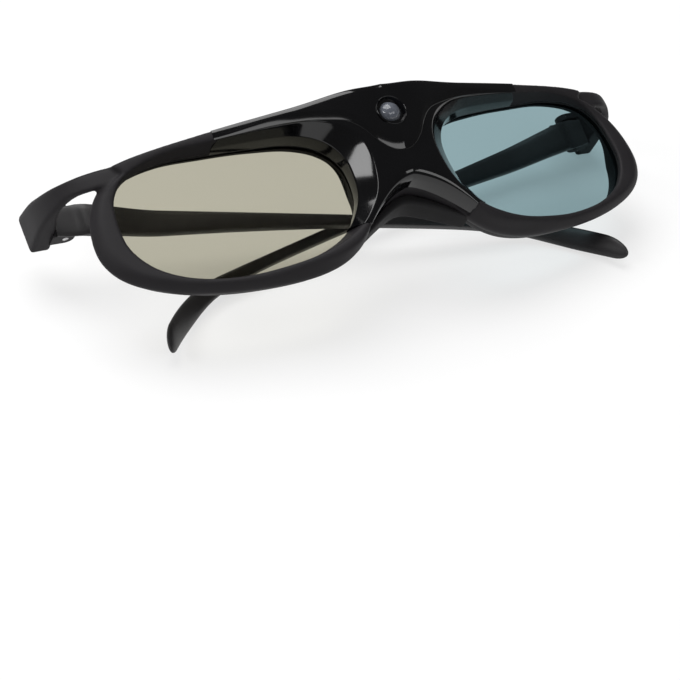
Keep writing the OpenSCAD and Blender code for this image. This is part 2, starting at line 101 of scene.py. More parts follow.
bpy.ops.object.select_all(action="DESELECT")
bpy.ops.mesh.primitive_plane_add(size=6, location=(0, 0, -0.0002))
table = bpy.context.object
table.name = "table"
white, wire = new_finish("white_table")
path = wire.node("ShaderNodeLightPath")
seen = [Wire(path.tree, path.socket.node.outputs[name])
        for name in ("Is Camera Ray", "Is Glossy Ray", "Is Transmission Ray")]
glow_share = 0.68
paint = wire.node("ShaderNodeBsdfDiffuse", None, {"Color": (0.92, 0.92, 0.92, 1)})
glow = wire.node("ShaderNodeEmission", None, {"Color": (1, 1, 1, 1), "Strength": 1})
show(wire, wire.node("ShaderNodeMixShader", None,
                     {0: (seen[0] + seen[1] + seen[2]).limit(1) * glow_share, 1: paint, 2: glow}))
put_on(white, table)

room = bpy.data.worlds.new("room")
room.use_nodes = True
room.node_tree.nodes["Background"].inputs["Color"].default_value = (1, 1, 1, 1)
room.node_tree.nodes["Background"].inputs["Strength"].default_value = 0.1
scene.world = room


def softbox(name, place, target, width, height, watts):
    lamp = bpy.data.lights.new(name, "AREA")
    lamp.shape = "RECTANGLE"
    lamp.size = width
    lamp.size_y = height
    lamp.energy = watts
    holder = bpy.data.objects.new(name, lamp)
    holder.location = place
    aim = Vector(target) - Vector(place)
    holder.rotation_mode = "QUATERNION"
    holder.rotation_quaternion = aim.to_track_quat("-Z", "Y")
    scene.collection.objects.link(holder)


softbox("softbox_over", (-0.1, 0.45, 1.0), (0, 0, 0), 0.9, 1.1, 14)
softbox("softbox_left", (-0.75, 0.007, 0.551), (-0.009, -0.012, 0.04), 0.5, 0.2, 2.2)
softbox("softbox_front", (0.15, -0.9, 0.75), (0, 0, 0.03), 1.1, 0.4, 3.8)

# Camera. It looks down on the folded front from the left with a long lens, and the pair
# sits high in the frame, so the picture is shifted and not the camera.
camera_data = bpy.data.cameras.new("camera")
camera_data.lens = 109.67
camera_data.sensor_width = 36
camera_data.shift_x = -0.0904
camera_data.shift_y = -0.2059
camera = bpy.data.objects.new("camera", camera_data)
right = (0.87394, -0.4782, 0.08697)
up = (0.20618, 0.52678, 0.82462)
back = (-0.44014, -0.70273, 0.55896)
eye = (-0.23365, -0.38895, 0.32478)
camera.matrix_world = Matrix([*zip(right, up, back, eye), (0, 0, 0, 1)])
scene.collection.objects.link(camera)
scene.camera = camera

# Front frame. One matte moulding of filled nylon carries both rims, and an elbow runs back from
# each outer end to the hinge lugs. The rims flare open to the front, and every edge is eased.
lean, roll = math.radians(66.4), math.radians(3.3)
rest_shift = (0.00126, -0.00987, 0.0315868)
on_table = (Matrix.Translation(rest_shift) @ Matrix.Rotation(roll, 4, "Y")
            @ Matrix.Rotation(-lean, 4, "X") @ Matrix.Scale(0.001, 4))
lens_half = np.array([30.0, 18.5])
lens_mid = lens_half * [1, 0]
rim_half = lens_half + [7.8, 4.3]
nose_half, front_half, brow_z = 13.75, 80.7, 20.5
turn, rake = math.radians(9), math.radians(7)
lens_shape = [(0.47, 1), (0.1, 0.96), (-0.3, 0.89), (-0.62, 0.8), (-0.85, 0.6), (-0.98, 0.26),
              (-0.98, -0.2), (-0.9, -0.52), (-0.74, -0.79), (-0.46, -0.96), (-0.13, -1), (0.23, -0.96),
              (0.57, -0.81), (0.83, -0.54), (0.98, -0.16), (1, 0.27), (0.95, 0.65), (0.79, 0.9)]
rim_shape = [(1, 0.04), (0.97, 0.35), (0.89, 0.62), (0.76, 0.81), (0.56, 0.88), (0.28, 0.9),
             (-0.1, 0.9), (-0.5, 0.85), (-0.76, 0.65), (-0.86, 0.3), (-0.88, -0.2), (-0.85, -0.48),
             (-0.78, -0.66), (-0.67, -0.83), (-0.52, -0.95), (-0.31, -1), (-0.03, -0.975), (0.26, -0.9),
             (0.52, -0.78), (0.75, -0.61), (0.9, -0.42), (0.98, -0.2)]
depth_shape = [(-0.12, 1.09), (0, 1), (0.12, 1.09), (0.24, 1), (0.37, 0.87), (0.54, 0.7), (0.73, 0.52),
               (0.88, 0.34), (0.96, 0.12), (1.03, -0.3)]
brow_shape = [(-0.15, 0.2), (0, 0.2), (0.15, 0.2), (0.3, -0.2), (0.5, 0.8), (0.67, 1), (0.8, 0.4),
              (0.89, -1.4)]
brow_end, brow_blend = 0.885, 14
gasket_t, frame_depth, bridge_depth = 0.6, 3.2, 9.7
flare, flare_u, flare_v = 7.6, 60.0, 8.0


def curve(points, steps, closed=False):
    """Smooth line through the points."""
    p = np.array(points, float)
    m = len(p)
    line = []
    for i in range(m if closed else m - 1):
        near = [i - 1, i, i + 1, i + 2]
        a, b, c, d = (p[k % m] if closed else p[min(max(k, 0), m - 1)] for k in near)
        for t in np.arange(steps) / steps:
            line.append(0.5 * (2 * b + (c - a) * t + (2 * a - 5 * b + 4 * c - d) * t ** 2
                               + (3 * b - a - 3 * c + d) * t ** 3))
    return np.array(line if closed else line + [p[-1]])


depth_line = curve(depth_shape, 12) * [front_half, bridge_depth]
brow_line = curve(brow_shape, 12) * [front_half, 0.5] + [0, brow_z]
opening = curve(np.array(lens_shape) * lens_half, 8, True)
rim_line = curve(np.array(rim_shape) * rim_half, 8, True)
rim_angle = np.arctan2(rim_line[:, 1], rim_line[:, 0])
rim_order = np.argsort(rim_angle)
rim_reach = np.hypot(rim_line[:, 0], rim_line[:, 1])[rim_order]
rim_angle = rim_angle[rim_order]


def grown(grow):
    """The lens opening made larger all round."""
    return curve(np.array(lens_shape) * (lens_half + grow), 8, True)


def front_axes(side, u, v, w):
    """Lens axes to front axes: u along the lens from its nose end, v up, w back through it."""
    return np.array([side * (nose_half + u * math.cos(turn) - w * math.sin(turn)),
                     u * math.sin(turn) + w * math.cos(turn), v])


def lens_y(x):
    """Depth of the two lens planes, which meet the nose gap and sweep back from it."""
    return (abs(x) - nose_half) * math.tan(turn)


def face_y(x, z):
    """Depth of the sloping front face."""
    line = lens_y(x) - np.interp(abs(x), depth_line[:, 0], depth_line[:, 1])
    return line / math.cos(rake) + (brow_z - z) * math.tan(rake)


def face_w(u, v):
    """The same face in lens axes."""
    w = -4.0
    for _ in range(8):
        x = nose_half + u * math.cos(turn) - w * math.sin(turn)
        w = (face_y(x, v) - u * math.sin(turn)) / math.cos(turn)
    return w


def flared(u, v, w):
    """Point of the opening carried forward along its flare to depth w."""
    k = 1 + flare * (-gasket_t - w) / bridge_depth / flare_u
    return flare_u + (u - flare_u) * k, flare_v + (v - flare_v) * k


def brow_reach(angle):
    """Distance from the lens middle to the brow line in one direction."""
    if math.sin(angle) < 0.12:
        return 0.0
    reach = 20.0
    for _ in range(12):
        x = nose_half + (lens_half[0] + reach * math.cos(angle)) * math.cos(turn)
        if not 0 < x < brow_end * front_half:
            return 0.0
        reach = np.interp(abs(x), brow_line[:, 0], brow_line[:, 1]) / math.sin(angle)
    return reach


def rim_out(angle, share):
    """Outer edge of a rim in one direction, drawn up to the brow line along its top."""
    reach = np.interp(angle, rim_angle, rim_reach, period=2 * math.pi) * share
    brow = brow_reach(angle)
    reach = (reach ** brow_blend + brow ** brow_blend) ** (1 / brow_blend) if brow else reach
    return lens_half[0] + reach * math.cos(angle), reach * math.sin(angle)


def eased(corners, radii, steps=4, share=0.48):
    """Closed outline with each corner rounded, over no more than a share of its two sides."""
    c = [np.array(p, float) for p in corners]
    ring = []
    for i, r in enumerate(radii):
        if not r:
            ring.append(c[i])
            continue
        arms = []
        for other in (c[i - 1], c[(i + 1) % len(c)]):
            span = np.linalg.norm(other - c[i])
            arms.append(c[i] + (other - c[i]) * min(r / max(span, 1e-6), share))
        for t in np.linspace(0, 1, steps):
            ring.append((1 - t) ** 2 * arms[0] + 2 * t * (1 - t) * c[i] + t ** 2 * arms[1])
    return ring


def smooth(piece, angle=38):
    """Close the seams, turn the faces outwards and shade across the eased edges."""
    bpy.ops.object.select_all(action="DESELECT")
    piece.select_set(True)
    bpy.context.view_layer.objects.active = piece
    bpy.ops.object.mode_set(mode="EDIT")
    bpy.ops.mesh.select_all(action="SELECT")
    bpy.ops.mesh.remove_doubles(threshold=0.000002)
    bpy.ops.mesh.normals_make_consistent(inside=False)
    bpy.ops.object.mode_set(mode="OBJECT")
    bpy.ops.object.shade_smooth_by_angle(angle=math.radians(angle))
    return piece


def drawn(name, rings, capped=True):
    """Circle set on the first ring, then extruded from ring to ring, with its ends filled."""
    rings = np.array(rings, float)
    bpy.ops.object.select_all(action="DESELECT")
    bpy.ops.mesh.primitive_circle_add(vertices=len(rings[0]), fill_type="NGON" if capped else "NOTHING")
    piece = bpy.context.object
    piece.name = name
    bpy.ops.object.mode_set(mode="EDIT")
    for _ in rings[1:]:
        bpy.ops.mesh.extrude_region()
    bpy.ops.object.mode_set(mode="OBJECT")
    flat = rings.reshape(-1, 3)
    set_out = np.array(on_table)
    piece.data.vertices.foreach_set("co", (flat @ set_out[:3, :3].T + set_out[:3, 3]).ravel())
    piece.data.update()
    return smooth(piece)


def joined(name, pieces):
    bpy.ops.object.select_all(action="DESELECT")
    for piece in pieces:
        piece.select_set(True)
    bpy.context.view_layer.objects.active = pieces[0]
    bpy.ops.object.join()
    pieces[0].name = name
    pieces[0].data.name = name
    return pieces[0]


def cut_out(piece, cutter):
    cut = piece.modifiers.new("cut", "BOOLEAN")
    cut.operation = "DIFFERENCE"
    cut.object = cutter
    bpy.context.view_layer.objects.active = piece
    bpy.ops.object.modifier_apply(modifier="cut")
    bpy.data.objects.remove(cutter)


def eased_step(x):
    x = min(max(x, 0), 1)
    return x * x * (3 - 2 * x)


seam_x, cover_foot = 45.0, (20.3, -13.0)
count = len(opening)
opening_x = nose_half + (opening[:, 0] + lens_half[0]) * math.cos(turn)
upper_half = [i for i in range(count) if opening[i, 1] >= 0]
top_seam = min(upper_half, key=lambda i: abs(opening_x[i] - seam_x))
low_seam = min(range(count), key=lambda i: math.dist((opening_x[i], opening[i, 1]), cover_foot))
pocket_grow, rim_back, rim_mid_w, least_lip = 1.75, 0.95, 0.8, -1.8
lean_in, lean_depth, face_crown = 0.18, 7, 0.12


def rim_ring(side, i, in_cover):
    """Section of a rim at one point of its opening. Under the cover it stops at the lens seat."""
    u, v = opening[i] + lens_mid
    pocket = grown(pocket_grow)[i] + lens_mid
    angle = math.atan2(opening[i, 1], opening[i, 0])
    back_out, mid_out = rim_out(angle, rim_back), rim_out(angle, 1)
    if in_cover:
        lip_w, lip, edge_w, edge = -gasket_t, (u, v), -gasket_t, back_out
    else:
        lip_w = -3.0
        for _ in range(6):
            lip = flared(u, v, lip_w)
            lip_w = min(face_w(*lip), least_lip)
        edge_w = -2.0
        nose = eased_step((-opening[i, 0] - 8) / 14) if v < 0 else 0
        for _ in range(6):
            edge = rim_out(angle, 1 - lean_in * (1 - nose) * (rim_mid_w - edge_w) / lean_depth)
            edge_w = min(face_w(*edge), least_lip)
    half = [(lip[0] + edge[0]) / 2, (lip[1] + edge[1]) / 2]
    half_w = -gasket_t if in_cover else min(face_w(*half), (lip_w + edge_w) / 2) - face_crown
    corners = [(u, v, -gasket_t), (*lip, lip_w), (*half, half_w), (*edge, edge_w), (*mid_out, rim_mid_w),
               (*back_out, frame_depth), (*pocket, frame_depth), (*pocket, -gasket_t)]
    soft = min(max((opening_x[i] - seam_x) / 14, 0), 1) if v > 0 else 1
    ring = eased(corners, [0.12, 0.5, 1.6, 0.6 + 1.3 * soft, 1.2, 0.5, 0.1, 0.1])
    return [front_axes(side, *p) for p in ring]


def rim_piece(side):
    """Whole rim, drawn from the lower seam round the outer end and back under the cover."""
    around = [(low_seam - k) % count for k in range(count)]
    if not any(opening_x[i] > 60 for i in around[:around.index(top_seam)]):
        around = [(low_seam + k) % count for k in range(count)]
    split = around.index(top_seam)
    rings = [rim_ring(side, i, False) for i in around[-1:] + around[:split + 2]]
    rings += [rim_ring(side, i, True) for i in around[split + 1:]]
    return drawn("rim", rings + [rings[0]], capped=False)


rim_y = lens_y(front_half)
elbow_in, elbow_out, elbow_end, elbow_low = 81.4, 86.7, 36.4, 16.8
elbow_outer = curve([(elbow_out - 20.5, rim_y - 4.7), (elbow_out - 11.5, rim_y - 2.5),
                     (elbow_out - 6, rim_y + 1), (elbow_out - 2.2, rim_y + 7.3),
                     (elbow_out - 0.3, rim_y + 15.3), (elbow_out, elbow_end)], 7)
elbow_inner = curve([(elbow_out - 20, rim_y - 2.4), (elbow_out - 12.6, rim_y - 0.8),
                     (elbow_out - 7.8, rim_y + 2.6), (elbow_out - 4.4, rim_y + 8.4),
                     (elbow_in, elbow_end - 8), (elbow_in, elbow_end)], 7)
elbow_lower = curve([(rim_y - 9, elbow_low - 2.4), (rim_y - 2, elbow_low - 1), (rim_y + 2.5, elbow_low + 0.2),
                     (rim_y + 9, elbow_low - 0.2), (elbow_end, elbow_low)], 8)
elbow_upper = curve([(rim_y - 9, elbow_low + 3.4), (rim_y, elbow_low + 4.6), (rim_y + 8, elbow_low + 6.8),
                     (rim_y + 16, elbow_low + 9.4), (elbow_end, elbow_low + 11.8)], 8)


def elbow_piece(side):
    """Elbow from the rim back to the hinge, with the flared lens opening cut clear of its root."""
    rings = []
    for outer, inner in zip(elbow_outer, elbow_inner):
        corners = []
        for (x, y), edge in ((outer, elbow_lower), (outer, elbow_upper),
                             (inner, elbow_upper), (inner, elbow_lower)):
            corners.append((side * x, y, np.interp(y, edge[:, 0], edge[:, 1])))
        rings.append(eased(corners, [0.9, 2.0, 0.7, 0.7]))
    end = np.array(rings[-1])
    rings[-1] = end - [0, 0.35, 0]
    rings.append(end + (end.mean(0) - end) * 0.08)
    elbow = drawn("elbow", rings)
    rings = [[front_axes(side, *flared(u, v, w), w) for u, v in opening + lens_mid] for w in (-9, -gasket_t)]
    rings.append([front_axes(side, u, v, 9) for u, v in opening + lens_mid])
    cut_out(elbow, drawn("opening", rings))
    return elbow


arch_drop, arch_foot = 5.8, 18.25
plate_x, plate_lift, plate_top = np.linspace(-12.4, 12.4, 25), 0.3, 20.2


def arch_z(x):
    """Height of the nose arch."""
    return -arch_drop - (lens_half[1] - arch_drop) * (abs(x) / arch_foot) ** 1.6


def bridge_plate():
    """Plate that joins the rims behind the cover."""
    rings = []
    for x in plate_x:
        near, far, low = lens_y(x) - 0.55, lens_y(x) + frame_depth, arch_z(x) + plate_lift
        section = [(near, low), (near, plate_top), (far, plate_top), (far, low)]
        rings.append(eased([(x, depth, z) for depth, z in section], [0.3] * 4))
    return drawn("bridge_plate", rings)


pieces = [bridge_plate()]
for side in (-1, 1):
    pieces += [rim_piece(side), elbow_piece(side)]
front = joined("front_frame_moulding", pieces)
fuse = front.modifiers.new("fuse", "REMESH")
fuse.mode = "VOXEL"
fuse.voxel_size = 0.0004
soften = front.modifiers.new("soften", "SMOOTH")
soften.factor = 0.5
soften.iterations = 5
for name in ("fuse", "soften"):
    bpy.ops.object.modifier_apply(modifier=name)
bpy.ops.object.shade_smooth_by_angle(angle=math.radians(60))
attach(front, "front")
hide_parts("front_frame")


def speckle(wire, scale, detail, distortion=0.0):
    """Fine unevenness that follows the piece."""
    spot = wire.node("ShaderNodeTexCoord", None, None, "Object")
    return wire.node("ShaderNodeTexNoise", None, {"Vector": spot, "Scale": scale, "Detail": detail,
                                                  "Distortion": distortion})


def between(wire, share, dark, light):
    return wire.node("ShaderNodeMix", {"data_type": "RGBA"}, {0: share, 6: (*dark, 1), 7: (*light, 1)}, 2)


def relief(wire, height, strength, depth):
    return wire.node("ShaderNodeBump", None, {"Strength": strength, "Distance": depth, "Height": height})


def show_coat(wire, sockets):
    show(wire, wire.node("ShaderNodeBsdfPrincipled", None, sockets))


matte, wire = new_finish("matte_black")
cloud = speckle(wire, 160.0, 3.0)
show_coat(wire, {"Base Color": between(wire, cloud, (0.0152, 0.0141, 0.0156), (0.0198, 0.0185, 0.0203)),
                 "Roughness": 0.48 + cloud * 0.14, "Specular IOR Level": 0.12,
                 "Normal": relief(wire, speckle(wire, 5200.0, 2.0), 0.25, 0.00004)})
put_on(matte, front)

# Gloss cover. A polished black moulding snaps over the bridge and the inner ends of both rims,
# with rounded lips round the lenses and a rolled edge over the nose.
arch_roll, seat_gap, seam_gap, arch_end = 2.8, 0.12, 0.12, 15.5


def spread(points, n):
    """The same line with n points evenly along it."""
    p = np.array(points, float)
    run = np.concatenate([[0], np.cumsum(np.linalg.norm(np.diff(p, axis=0), axis=1))])
    return np.stack([np.interp(np.linspace(0, run[-1], n), run, p[:, k]) for k in range(p.shape[1])], 1)


def cover_half(side):
    """Half of the cover, in sections that run from the lens lip to the brow, the middle or the arch."""
    around = [(top_seam + k) % count for k in range(count)]
    if not any(opening_x[i] < 15 for i in around[:around.index(low_seam)]):
        around = [(top_seam - k) % count for k in range(count)]
    around = around[:around.index(low_seam) + 1]
    inner = opening[around]
    upper = [k for k in range(len(inner)) if inner[k, 1] >= 0]
    nose_end = [k for k in range(len(inner)) if inner[k, 0] <= 0]
    brow_corner = min(upper, key=lambda k: abs(inner[k, 0] + 20))
    arch_corner = min(nose_end, key=lambda k: abs(inner[k, 1] + 1.5))
    top = [(x, np.interp(x, brow_line[:, 0], brow_line[:, 1])) for x in np.linspace(seam_x - seam_gap, 0, 40)]
    middle = [(0, z) for z in np.linspace(top[-1][1], arch_roll - arch_drop, 30)]
    arch = [(x, arch_z(x)) for x in np.linspace(0, arch_end, 40)]
    outer = np.concatenate([spread(top, brow_corner + 1)[:-1],
                            spread(middle, arch_corner - brow_corner + 1)[:-1],
                            spread(arch, len(inner) - arch_corner)])
    rings = []
    for k, i in enumerate(around):
        u, v = opening[i] + lens_mid
        lip_w = -5.0
        for _ in range(8):
            lip = flared(u, v, lip_w)
            lip_w = face_w(*lip)
        seat = front_axes(1, u, v, -gasket_t - 0.1)
        step_w = -gasket_t + (lip_w + gasket_t) * 0.48
        step_u, step_v = (np.array([u, v]) * 0.75 + np.array(flared(u, v, step_w)) * 0.25)
        step = front_axes(1, step_u, step_v, step_w)
        edge = front_axes(1, *lip, lip_w)
        far_x, far_z = outer[k]
        far = np.array([far_x, face_y(far_x, far_z), far_z])
        foot = np.array([far_x, lens_y(far_x) - gasket_t - seat_gap, far_z])
        away, roll_r = (0, -1), 0.5
        if k >= arch_corner:
            slope = 1.6 * (far_z + arch_drop) / max(far_x, 0.01)
            away = np.array([-slope, 1]) / math.hypot(slope, 1)
            roll_r = 0.4 + (arch_roll - 0.4) * (1 - (far_x / arch_end) ** 2)
        elif k > brow_corner:
            away, roll_r = (1, 0), 1e-4
        start = np.array([far_x + away[0] * roll_r, 0, far_z + away[1] * roll_r])
        start[1] = face_y(start[0], start[2])
        face = []
        for t in (0.06, 0.25, 0.5, 0.75):
            x, z = edge[0] + (start[0] - edge[0]) * t, edge[2] + (start[2] - edge[2]) * t
            face.append((x, face_y(x, z), z))
        end = far + [0, min(roll_r, 0.6 * (foot[1] - far[1])), 0]
        rolled = [(1 - t) ** 2 * start + 2 * t * (1 - t) * far + t ** 2 * end for t in np.linspace(0, 1, 7)]
        corners = [seat, step, step * 0.25 + edge * 0.75, edge, *face, *rolled, foot]
        ring = eased(corners, [0.1, 0.35, 0, 0.5] + [0] * 11 + [0.1], share=0.6)
        rings.append([(side * x, y, z) for x, y, z in ring])
    return drawn("cover_half", rings)


# The halves meet in the middle, where the faces between them are taken out.
cover = joined("bridge_cover_gloss", [cover_half(1), cover_half(-1)])
cover_middle = on_table.to_3x3().col[0].normalized()
bpy.ops.object.mode_set(mode="EDIT")
net = bmesh.from_edit_mesh(cover.data)
for face in net.faces:
    face.select = all(abs((v.co - Vector(rest_shift)).dot(cover_middle)) < 2e-6 for v in face.verts)
bmesh.update_edit_mesh(cover.data)
bpy.ops.mesh.delete(type="FACE")
bpy.ops.object.mode_set(mode="OBJECT")
smooth(cover)
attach(cover, "front")
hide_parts("bridge_cover")

gloss, wire = new_finish("gloss_black")
smear = speckle(wire, 90.0, 4.0, 0.6)
show_coat(wire, {"Base Color": between(wire, smear, (0.0016, 0.0016, 0.002), (0.003, 0.003, 0.0036)),
                 "Roughness": 0.05 + smear * 0.07,
                 "Normal": relief(wire, speckle(wire, 260.0, 1.0), 0.06, 0.00003)})
put_on(gloss, cover)

# Brow panel. A proud gloss strip is glued along the brow, wide in the middle where a shield
# hangs down round the sensor, with a fine eased edge all along.
sensor_z, shield_w, panel_t, dome_r, dish_w, dish_fit = 12.6, 11.0, 0.8, 3.1, 1.0, 0.02
thin_by, thin_from, thin_run = 0.55, 26, 18
shield_low = [(-0.27, -10.2), (0, -11), (0.27, -10.2), (0.56, -7.4), (0.86, -2.7), (1.14, 0), (1.5, 1.6),
              (2, 3.2), (2.7, 4.5), (3.45, 5.2), ((seam_x - 0.1) / shield_w, 5.7)]
panel_low = curve(np.array(shield_low) * [shield_w, 1] + [0, sensor_z], 14)
round_low = [(0, -0.05), (0, 0.12), (0.03, 0.2), (0.1, 0.28), (0.88, 0.93), (1, 1)]
round_top = [(1, 1), (0.6, 0.95), (0.3, 0.75), (0.1, 0.4), (0, -0.2), (0, -1.6)]
rings = []
half_x = np.concatenate([np.linspace(0, 17, 61), np.linspace(17.5, seam_x - 0.1, 45)])
for x in np.concatenate([-half_x[:0:-1], half_x]):
    low = np.interp(abs(x), panel_low[:, 0], panel_low[:, 1])
    top = np.interp(abs(x), brow_line[:, 0], brow_line[:, 1]) + 0.04
    proud = panel_t - thin_by * eased_step((abs(x) - thin_from) / thin_run)
    low_ease, top_ease = min(2, 0.5 * (top - low)) * proud / panel_t, min(1.5, 0.35 * (top - low))
    ring = [(low + low_ease * dz, proud * out) for dz, out in round_low]
    ring += [(low + low_ease + (top - top_ease - low - low_ease) * t, proud) for t in (0.2, 0.4, 0.6, 0.8)]
    ring += [(top - top_ease * dz, proud * out) for dz, out in round_top]
    rings.append([(x, face_y(x, z) - out, z) for z, out in ring])
panel = drawn("brow_panel_gloss", rings)
sensor_axis = (Matrix.Translation((0, face_y(0, sensor_z), sensor_z))
               @ Matrix.Rotation(rake - math.pi / 2, 4, "X"))


def turned(name, profile, steps=64, capped=True):
    """Round piece on the sensor axis, drawn from circle to circle of the profile (radius, depth)."""
    rings = []
    for r, depth in profile:
        circle = [(r * math.cos(a), r * math.sin(a), depth) for a in np.arange(steps) * 2 * math.pi / steps]
        rings.append([list(sensor_axis @ Vector(p)) for p in circle])
    return drawn(name, rings, capped)


bore_r = dome_r + dish_w + dish_fit
cut_out(panel, turned("bore", [(bore_r, -6), (bore_r, 6)]))
smooth(panel)
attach(panel, "front")
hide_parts("brow_panel")
put_on(gloss, panel)

# Sensor. A turned dish is pressed into the shield, and a clear dark dome over the receiver
# sits in the middle of it. The dome's grey-blue base colour is painted reflection.
dish_section = [(3.22, 3.2), (3.22, 0.75), (3.3, 0.62), (3.55, 0.3), (3.75, -0.1), (3.9, -0.55), (3.97, -0.78),
                (4.05, -0.86), (4.1, -0.8), (4.11, 3.2), (3.22, 3.2)]
dish = turned("sensor_dish", dish_section, capped=False)
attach(dish, "front")
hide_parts("sensor_ring")
put_on(gloss, dish)
dome_stand = 0.8
dome_top = -panel_t - dome_stand
cap = [(dome_r * math.sin(a), dome_top + dome_r * (1 - math.cos(a)))
       for a in np.linspace(0.02, math.pi / 2, 22)]
dome = turned("sensor_dome_glass", cap + [(dome_r, dome_r - panel_t + dome_stand)])
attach(dome, "front")
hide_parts("sensor_dome")
smoked, wire = new_finish("sensor_glass")
# Painted reflection: the grey-blue base mottled by this noise stands in for glints and the receiver seen
# inside the dome.
haze_and_painted_glints = speckle(wire, 700.0, 3.0)
show_coat(wire, {"Base Color": between(wire, haze_and_painted_glints, (0.15, 0.165, 0.2), (0.27, 0.29, 0.34)),
                 "Roughness": 0.02 + haze_and_painted_glints * 0.03, "Transmission Weight": 0.55, "IOR": 1.5})
put_on(smoked, dome)

# Shutter lenses. Each is a flat laminate of polarisers and liquid crystal that lets about half
# the light through. Their tints carry painted light: khaki on the left and teal on the right as it
# lies in this light, and the right one is made lighter to make up for the shade on the table behind it.
# Painted light: the two tints differ, and the right one is lightened against the table's shade behind it.
lens_tints_with_painted_light = {"left_lens": (0.683, 0.67, 0.6, 1), "right_lens": (0.56, 0.672, 0.694, 1)}
for name, colour in lens_tints_with_painted_light.items():
    glass, wire = new_finish(name + "_laminate")
    dust = speckle(wire, 1900.0, 3.0)
    clear = wire.node("ShaderNodeBsdfTransparent", None, {"Color": colour})
    shine = wire.node("ShaderNodeBsdfPrincipled", None,
                      {"Base Color": (0.01, 0.012, 0.012, 1), "Roughness": 0.02 + dust * 0.02})
    slant = wire.node("ShaderNodeLayerWeight", None, {"Blend": 0.5}, "Facing")
    mirror = slant * slant * (0.55 + dust * 0.1)
    show(wire, wire.node("ShaderNodeMixShader", None, {0: mirror, 1: clear, 2: shine}))
    put_on(glass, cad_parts[name])

# Nose pad. A soft saddle moulded in black rubber is pushed on under the nose arch, held by a lip
# that stands up behind the frame. It runs out thin down both sides of the nose.
rear_w, pad_t, pad_thin, pad_reach = 5.8, 2.3, 0.3, 0.84 * arch_foot
pad_front, pad_heel, pad_fit, pad_lip_h, pad_lip_t = 0.9, 2, 0.06, 2.9, 1.4
rings = []
for x in np.linspace(-pad_reach, pad_reach, 71):
    z = arch_z(x)
    run_out = (abs(x) / pad_reach) ** 3
    drop, heel = pad_t - (pad_t - pad_thin) * run_out, rear_w + pad_heel - pad_heel * run_out
    inner = max(lens_y(x) + rear_w / math.cos(turn) + pad_fit, 2.6)
    section = [(pad_front, z - drop), (pad_front, z - pad_fit), (inner, z - pad_fit), (inner, z + pad_lip_h),
               (inner + pad_lip_t, z + pad_lip_h), (heel, z - 0.1), (heel, z - drop)]
    rings.append(eased([(x, *p) for p in section], [0.9, 0.15, 0.15, 0.5, 0.6, 1.2, 0.9]))
for at in (0, -1):
    end = np.array(rings[at])
    rings[at] = end + (end.mean(0) - end) * 0.2
pad = drawn("nose_pad_rubber", rings)
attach(pad, "front")
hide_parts("nose_pad")
rubber, wire = new_finish("soft_black")
bloom = speckle(wire, 320.0, 4.0)
show_coat(wire, {"Base Color": between(wire, bloom, (0.008, 0.008, 0.0085), (0.013, 0.0126, 0.0134)),
                 "Roughness": 0.62 + bloom * 0.2, "Specular IOR Level": 0.2,
                 "Normal": relief(wire, speckle(wire, 4200.0, 2.0), 0.3, 0.00005)})
put_on(rubber, pad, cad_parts["left_gasket"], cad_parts["right_gasket"])

# Temples. Each slim arm is moulded in satin nylon, deep at its barrel, thin in the middle, and
# it drops into a rounded paddle behind the ear. A steel pin holds its barrel between the lugs.
temple_l, temple_t, temple_h, temple_mid_h, tip_h = 145.0, 3.0, 9.2, 3.0, 7.0
temple_fall, bend_at, bend_fall, bend_in, temple_top = 0.235, 120.0, 11.0, 12.0, 3.2
skin_lead, lead_end, lead_run, root_thin, root_end, root_run = 3.25, 26, 22, 0.72, 6.2, 3.4
tip_round, paddle_at, paddle_run, side_power, paddle_oval, arm_top = 3.2, 112, 20, 5.5, 3.3, 2.3
root_front, root_back, root_low, root_high = -2.9, 1.5, -2.95, 2.15
barrel_r, barrel_h, barrel_ease, pin_bore, lug_h, run_gap = 2.6, 6.0, 0.25, 0.84, 2.0, 0.25
temple_heights = [(0, temple_h), (15, temple_h - 1.5), (45, temple_mid_h + 2.1), (75, temple_mid_h + 0.3),
                  (95, temple_mid_h), (110, temple_mid_h + 0.3), (temple_l - 23, temple_mid_h + 1.7),
                  (temple_l - 11, tip_h), (temple_l, tip_h)]
height_line = curve(temple_heights, 8)
hinge_x, hinge_y, hinge_z, hinge_tip, hinge_skew = 78.4, 30.2, 21.4, math.radians(8), math.radians(0.6)


def hinge_axes(side, fold, points):
    """Hinge axes to front axes: z along the pin, x outwards, turned in by the fold."""
    place = (Matrix.Translation((side * hinge_x, hinge_y, hinge_z)) @ Matrix.Rotation(hinge_tip, 4, "X")
             @ Matrix.Rotation(hinge_skew, 4, "Y") @ Matrix.Diagonal((side, 1, 1, 1))
             @ Matrix.Rotation(math.radians(fold), 4, "Z"))
    return [list(place @ Vector(p)) for p in points]


